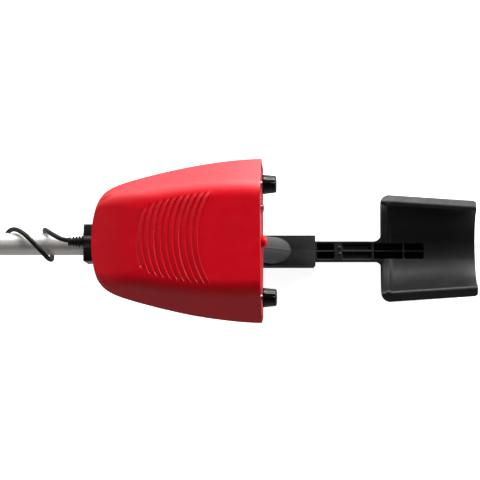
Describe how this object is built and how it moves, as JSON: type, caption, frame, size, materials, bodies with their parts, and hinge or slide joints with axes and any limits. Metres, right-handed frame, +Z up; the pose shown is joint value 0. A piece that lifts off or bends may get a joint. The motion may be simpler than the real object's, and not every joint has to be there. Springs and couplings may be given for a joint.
{
  "type": "metal detector",
  "caption": "Hand-held metal detector: control box on an S-shaped handle, sliding arm cuff, telescoping pole with a wound lead and a tilting open-web search coil.",
  "frame": {"origin": "middle of the footprint, on the surface that the detector lies on", "axes": "+X along the pole from the search coil towards the arm cuff, +Y to the left-hand side seen from the coil end looking to the cuff, +Z up"},
  "size_m": [0.809, 0.19, 0.1599],
  "materials": {
    "aluminium": "satin drawn tube",
    "black_plastic": "fine moulded grain",
    "grip_foam": "dense grained sleeve",
    "red_plastic": "semi-gloss moulded",
    "steel": "zinc plated",
    "socket_plastic": "smooth",
    "board_green": "lacquered board",
    "speaker_paper": "paper cone and pressed basket",
    "battery_wrap": "plain foil wrap",
    "clip_red": "plain",
    "relief_rubber": "moulded",
    "lead_jacket": "extruded jacket",
    "copper_winding": "enamelled wire bundle"
  },
  "bodies": {
    "frame": {"pole": "aluminium", "handle_left": "black_plastic", "handle_right": "black_plastic", "handle_screw_1": "steel", "handle_screw_2": "steel", "handle_screw_3": "steel", "handle_screw_4": "steel", "handle_screw_5": "steel", "grip_sleeve": "grip_foam", "box_cover": "red_plastic", "box_tray": "red_plastic", "box_screw_1": "steel", "box_screw_2": "steel", "box_screw_3": "steel", "box_screw_4": "steel", "mount_screw_1": "steel", "mount_screw_2": "steel", "rear_panel": "red_plastic", "sensitivity_potentiometer": "steel", "volume_potentiometer": "steel", "button_switch": "socket_plastic", "headphone_jack": "socket_plastic", "jack_nut": "steel", "circuit_board": "board_green", "speaker": "speaker_paper", "battery": "battery_wrap", "battery_clip": "clip_red", "lead_plug": "black_plastic", "strain_relief": "relief_rubber", "lead_upper": "lead_jacket"},
    "sensitivity_control": {"sensitivity_knob": "black_plastic", "sensitivity_shaft": "steel"},
    "volume_control": {"volume_knob": "black_plastic", "volume_shaft": "steel"},
    "button": {"mode_button": "red_plastic"},
    "door": {"battery_door": "black_plastic"},
    "lock": {"lock_collar": "black_plastic"},
    "rod": {"lower_rod": "black_plastic", "rod_tip": "black_plastic", "lead_clip": "black_plastic", "lead_lower": "lead_jacket", "washer_left": "relief_rubber", "washer_right": "relief_rubber", "pivot_bolt": "steel"},
    "nut": {"wing_nut": "black_plastic"},
    "coil": {"coil_ring": "black_plastic", "coil_bridge": "black_plastic", "coil_base": "black_plastic", "coil_winding": "copper_winding", "coil_gland": "black_plastic"},
    "cuff": {"arm_cuff": "black_plastic"}
  },
  "joints": [
    {"name": "sensitivity_turn", "type": "hinge", "parent": "frame", "child": "sensitivity_control", "pos_m": [0.18185, 0.0553, 0.1304], "axis": [0.9968, 0, 0.0797], "range_deg": [-145, 145]},
    {"name": "volume_turn", "type": "hinge", "parent": "frame", "child": "volume_control", "pos_m": [0.18185, -0.0553, 0.1304], "axis": [0.9968, 0, 0.0797], "range_deg": [-145, 145]},
    {"name": "mode_press", "type": "slide", "parent": "frame", "child": "button", "axis": [-0.9968, 0, -0.0797], "range_m": [0, 0.0015], "stiffness_N_per_m": 600},
    {"name": "battery_door_hinge", "type": "hinge", "parent": "frame", "child": "door", "pos_m": [0.12247, -0.0565, 0.1114], "axis": [-1, 0, 0], "range_deg": [0, 100]},
    {"name": "rod_slide", "type": "slide", "parent": "frame", "child": "rod", "axis": [-1, 0, 0], "range_m": [0, 0.2], "deforming": ["lead_upper"]},
    {"name": "lock_twist", "type": "hinge", "parent": "frame", "child": "lock", "pos_m": [-0.21653, 0, 0.096], "axis": [1, 0, 0], "range_deg": [0, 90]},
    {"name": "coil_tilt", "type": "hinge", "parent": "rod", "child": "coil", "pos_m": [-0.30953, 0, 0.066], "axis": [0, 1, 0], "range_deg": [-20, 60], "deforming": ["lead_lower"]},
    {"name": "nut_turn", "type": "hinge", "parent": "rod", "child": "nut", "pos_m": [-0.30953, 0.018, 0.066], "axis": [0, 1, 0], "range_deg": [-180, 180]},
    {"name": "cuff_slide", "type": "slide", "parent": "frame", "child": "cuff", "axis": [1, 0, 0], "range_m": [-0.014, 0.014]}
  ]
}
